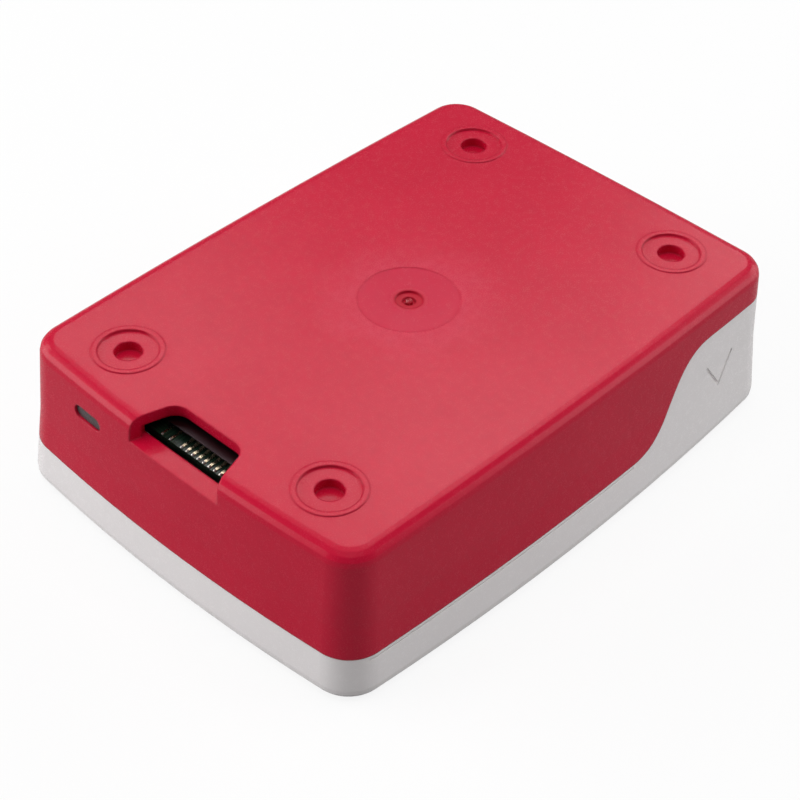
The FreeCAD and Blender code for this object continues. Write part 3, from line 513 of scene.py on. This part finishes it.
# %% [markdown]
# ## Small mouldings
#
# Header strips and socket cores are glass-filled nylon, which shows a dull, slightly mottled black.
# Ribbon connectors are the same nylon left cream, with black latches. The coils' ferrite, the
# capacitors' ceramic and the status lights' resin follow the same recipe in colours of their own.

# %% Black and cream nylon


def nylon(name, colour, pale, roughness=0.5):
    """Dull mottled moulding between two tones."""
    finish = Maker(name, colour, roughness)
    finish.put("Base Color", finish.blend(finish.ramp(finish.noise(0.7, 3.0), 0.35, 0.7), colour, pale))
    finish.put("Roughness", finish.ramp(finish.noise(0.25), 0.3, 0.7, roughness - 0.08, roughness + 0.1))
    finish.put("Normal", finish.bump(finish.noise(0.2), 0.012, 0.45, finish.soft_edges(0.08)))
    return finish


black_nylon = nylon("black_nylon", (0.016, 0.016, 0.017), (0.035, 0.034, 0.034))
black_nylon.dress("card_socket_body", "power_socket_tongue", "video_socket_tongue_1",
                  "video_socket_tongue_2", "sound_jack", "port_stack_core_1", "port_stack_core_2",
                  "network_jack_insert", "pin_header_strip", "aux_header_strip", "display_latch",
                  "camera_latch")
cream_nylon = nylon("cream_nylon", (0.66, 0.6, 0.46), (0.74, 0.69, 0.56))
cream_nylon.dress("display_connector", "camera_connector")
ferrite = nylon("coil_ferrite", (0.055, 0.052, 0.05), (0.1, 0.095, 0.09), 0.62)
ferrite.dress("inductors")
ceramic = nylon("capacitor_ceramic", (0.36, 0.25, 0.15), (0.46, 0.34, 0.22), 0.4)
ceramic.dress("capacitors")
lamp_resin = nylon("lamp_resin", (0.72, 0.7, 0.62), (0.8, 0.79, 0.74), 0.3)
lamp_resin.dress("status_lights")
print("mouldings dressed")

# %% [markdown]
# ## Pieces too small for the construction model
#
# A board carries dozens of solder beads and tiny parts that give it its scale. They are built straight
# into meshes: one helper drops a bead of solder, a low dome whose rim spreads on the pad, and another
# drops a small block with eased edges. Each kind of piece is one object, so it rides and is finished as
# one. The random numbers start from a fixed seed, so every run gives the same board.

# %% Helpers for small mesh pieces
SEED = 41
FULLNESS, FLARE = 0.8, 1.4
dice = random.Random(SEED)


def new_piece(name, mesh, finish, body):
    """Turns a filled bmesh into a piece that rides on a body."""
    data = bpy.data.meshes.new(name)
    mesh.to_mesh(data)
    mesh.free()
    for face in data.polygons:
        face.use_smooth = True
    data.materials.append(finish.material)
    piece = bpy.data.objects.new(name, data)
    scene.collection.objects.link(piece)
    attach(piece, body)


def dome(mesh, centre, half_x, half_y, high, rings=4, around=14, wobble=0.06):
    """Low closed dome that leaves its pad at a flat angle, with a rim that wobbles a little."""
    rows = []
    for i in range(rings):
        share = i / rings
        reach = math.cos(share * math.pi / 2) ** FULLNESS
        rise = high * math.sin(share * math.pi / 2) ** FLARE
        row = []
        for j in range(around):
            turn = 2 * math.pi * j / around
            wave = 1 + wobble * dice.uniform(-1, 1) * (1 - share)
            row.append(mesh.verts.new((centre[0] + half_x * reach * wave * math.cos(turn),
                                       centre[1] + half_y * reach * wave * math.sin(turn),
                                       centre[2] + rise)))
        rows.append(row)
    top = mesh.verts.new((centre[0], centre[1], centre[2] + high))
    floor = mesh.verts.new(centre)
    for j in range(around):
        k = (j + 1) % around
        for low, upper in zip(rows, rows[1:]):
            mesh.faces.new((low[j], low[k], upper[k], upper[j]))
        mesh.faces.new((rows[-1][j], rows[-1][k], top))
        mesh.faces.new((rows[0][k], rows[0][j], floor))


def chip(mesh, low, high, ease):
    """Block between two corners with all its edges eased."""
    made = bmesh.ops.create_cube(mesh, size=1)["verts"]
    for vert in made:
        vert.co = Vector([(a if c < 0 else b) for a, b, c in zip(low, high, vert.co)])
    edges = list(dict.fromkeys(edge for vert in made for edge in vert.link_edges))
    bmesh.ops.bevel(mesh, geom=edges, offset=ease, segments=2, profile=0.6, affect="EDGES")


print("helpers ready")

# %% [markdown]
# ## Solder on the card contacts
#
# Through the card cut the eye meets two rows of bright dots. They are the ends of the card contacts,
# each held by a bead of solder on the board. The beads take their places from the tails of the contacts
# themselves: eight at the pitch of 1.1 mm and two more for the switch that notices a card.

# %% Beads on the contact tails
tail_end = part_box("card_socket_contacts")[0].x
board_low, board_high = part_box("circuit_board")
solder = rolled_metal("tin_solder", (0.58, 0.55, 0.51), 0.26, 0.3, (1, 1, 1))
BEAD_IN, BEAD_REACH, BEAD_SPREAD, BEAD_HIGH = 0.12 * MM, 0.3 * MM, 0.1 * MM, 0.26 * MM
END_SLICE = 0.1 * MM
beads = bmesh.new()
tail_rows = sorted({round(vert.co.y, 6) for vert in parts["card_socket_contacts"].data.vertices
                    if vert.co.x < tail_end + END_SLICE})
pairs = list(zip(tail_rows[0::2], tail_rows[1::2]))
for left, right in pairs:
    centre = (tail_end + BEAD_IN, (left + right) / 2, board_high.z)
    dome(beads, centre, BEAD_REACH, (right - left) / 2 + BEAD_SPREAD, BEAD_HIGH)
new_piece("contact_solder", beads, solder, "base_body")
print("beads on", len(pairs), "contact tails")

# %% [markdown]
# ## Small parts on the board
#
# Resistors and capacitors of 1 to 1.6 mm surround every chip. Their places are drawn at random, but a
# place counts only where the board is free: away from every node of the construction model, from the
# board's rim and from the posts that hold it. The ends of each part are tinned.

# %% Choose free places
NOT_IN_THE_WAY = ("base", "circuit_board", "card_socket_body", "card_socket_cover",
                  "card_socket_contacts")
LATCHES = ("display_latch", "camera_latch")
HOLES_X, HOLES_Y, HOLE_REACH = (-39.0 * MM, 19.0 * MM), (-24.5 * MM, 24.5 * MM), 4.6 * MM
MARGIN, APART, MOST_TRIES = 0.9 * MM, 1.9 * MM, 4000


def taken_places():
    """Rectangles on the component side that parts, posts and pegs already use."""
    riders = frame["record"]["behaviour"]["bodies"]["base_body"]
    boxes = []
    for name in [rider for rider in riders if rider not in NOT_IN_THE_WAY] + list(LATCHES):
        low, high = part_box(name)
        boxes.append((low.x - MARGIN, low.y - MARGIN, high.x + MARGIN, high.y + MARGIN))
    for x in HOLES_X:
        for y in HOLES_Y:
            boxes.append((x - HOLE_REACH, y - HOLE_REACH, x + HOLE_REACH, y + HOLE_REACH))
    return boxes


def free_places(count, rim, grid):
    """Up to count places on a grid, clear of the board's rim, of what is there and of each other."""
    boxes = taken_places()
    found = []
    for _ in range(MOST_TRIES):
        if len(found) == count:
            break
        x = round(dice.uniform(board_low.x + rim, board_high.x - rim) / grid) * grid
        y = round(dice.uniform(board_low.y + rim, board_high.y - rim) / grid) * grid
        if any(a < x < c and b < y < d for a, b, c, d in boxes):
            continue
        if any(abs(x - u) < APART and abs(y - v) < APART for u, v in found):
            continue
        found.append((x, y))
    return found


places = free_places(count=110, rim=3.6 * MM, grid=0.8 * MM)
print("free places:", len(places))

# %% Resistors, capacitors and their tinned ends
SIZES_MM = [(1.0, 0.5, 0.35), (1.0, 0.5, 0.45), (1.6, 0.8, 0.45)]
END_SHARE, BODY_EASE, END_EASE = 0.24, 0.03 * MM, 0.05 * MM
face = board_low.z
black_bodies, tan_bodies, tinned_ends = bmesh.new(), bmesh.new(), bmesh.new()
for index, (x, y) in enumerate(places):
    long, wide, tall = (length * MM for length in dice.choice(SIZES_MM))
    across = dice.random() < 0.5
    half = (wide / 2, long / 2) if across else (long / 2, wide / 2)
    end = END_SHARE * long
    inner = (half[0], half[1] - end) if across else (half[0] - end, half[1])
    body_mesh = tan_bodies if index % 3 == 0 else black_bodies
    low = (x - inner[0], y - inner[1], face - tall)
    high = (x + inner[0], y + inner[1], face)
    chip(body_mesh, low, high, BODY_EASE)
    for sign in (-1, 1):
        if across:
            low = (x - half[0], y + (half[1] - end if sign > 0 else -half[1]), face - tall)
            high = (x + half[0], y + (half[1] if sign > 0 else -half[1] + end), face)
        else:
            low = (x + (half[0] - end if sign > 0 else -half[0]), y - half[1], face - tall)
            high = (x + (half[0] if sign > 0 else -half[0] + end), y + half[1], face)
        chip(tinned_ends, low, high, END_EASE)
new_piece("resistor_bodies", black_bodies, epoxy, "base_body")
new_piece("capacitor_bodies", tan_bodies, ceramic, "base_body")
new_piece("tinned_ends", tinned_ends, solder, "base_body")
print("small parts:", len(places))

# %% [markdown]
# ## Stub of the gate
#
# The base was filled through a point in the middle of its outer face. The stub that broke off there
# stands in a small well, and its rough, torn top catches the light. It is a short lathe shape whose top
# points are pushed about at random. Plastic that has been torn turns pale, so the stub has a finish of
# its own: noise brings up that paler red, and along the rounding of the torn edges the paler red is a
# painted highlight.

# %% Torn gate stub
case_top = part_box("base")[1].z
WELL_FLOOR, STUB_RADIUS, STUB_HIGH = 24.4 * MM, 0.58 * MM, 0.6 * MM
TORN_ABOVE, TORN_BY, TIP_RISE = 0.5, 0.14, 0.75


def torn_stub(mesh, floor, radius, high, around=26):
    """Lathe shape, open at the foot, whose profile pairs a share of the radius with one of the height."""
    profile = [(1.0, 0.0), (1.0, 0.35), (0.93, 0.7), (0.8, 0.95), (0.62, 0.8), (0.4, 0.62), (0.2, 0.9)]
    rows = []
    for reach, rise in profile:
        row = []
        for j in range(around):
            turn = 2 * math.pi * j / around
            rough = dice.uniform(-TORN_BY, TORN_BY) if rise > TORN_ABOVE else 0
            row.append(mesh.verts.new((radius * reach * math.cos(turn), radius * reach * math.sin(turn),
                                       floor + high * (rise + rough))))
        rows.append(row)
    tip = mesh.verts.new((0, 0, floor + high * TIP_RISE))
    for j in range(around):
        k = (j + 1) % around
        for low, upper in zip(rows, rows[1:]):
            mesh.faces.new((low[j], low[k], upper[k], upper[j]))
        mesh.faces.new((rows[-1][j], rows[-1][k], tip))


torn_red = Maker("torn_red_plastic", (0.6, 0.02, 0.05), 0.3)
# Pale red from noise is the torn plastic's own stress whitening; pale red on the rounded torn edges is a
# painted highlight.
stress_and_highlight = torn_red.calc("MAXIMUM", torn_red.ramp(torn_red.noise(0.25, 3.0), 0.56, 0.66, 0.0, 0.7),
                       torn_red.edge_share(torn_red.soft_edges(0.05), 0.08, 0.4))
torn_red.put("Base Color", torn_red.blend(stress_and_highlight, (0.42, 0.002, 0.016), (0.8, 0.3, 0.31)))
torn_red.put("Roughness", torn_red.ramp(torn_red.noise(0.1), 0.3, 0.7, 0.18, 0.4))
torn_red.put("Normal", torn_red.bump(torn_red.noise(0.12, 3.0), 0.03, 0.7))

stub = bmesh.new()
torn_stub(stub, WELL_FLOOR, STUB_RADIUS, STUB_HIGH)
new_piece("gate_stub", stub, torn_red, "base_body")
stub_top = WELL_FLOOR + STUB_HIGH
print("gate stub top", round(stub_top / MM, 2), "mm, case top", round(case_top / MM, 2), "mm")
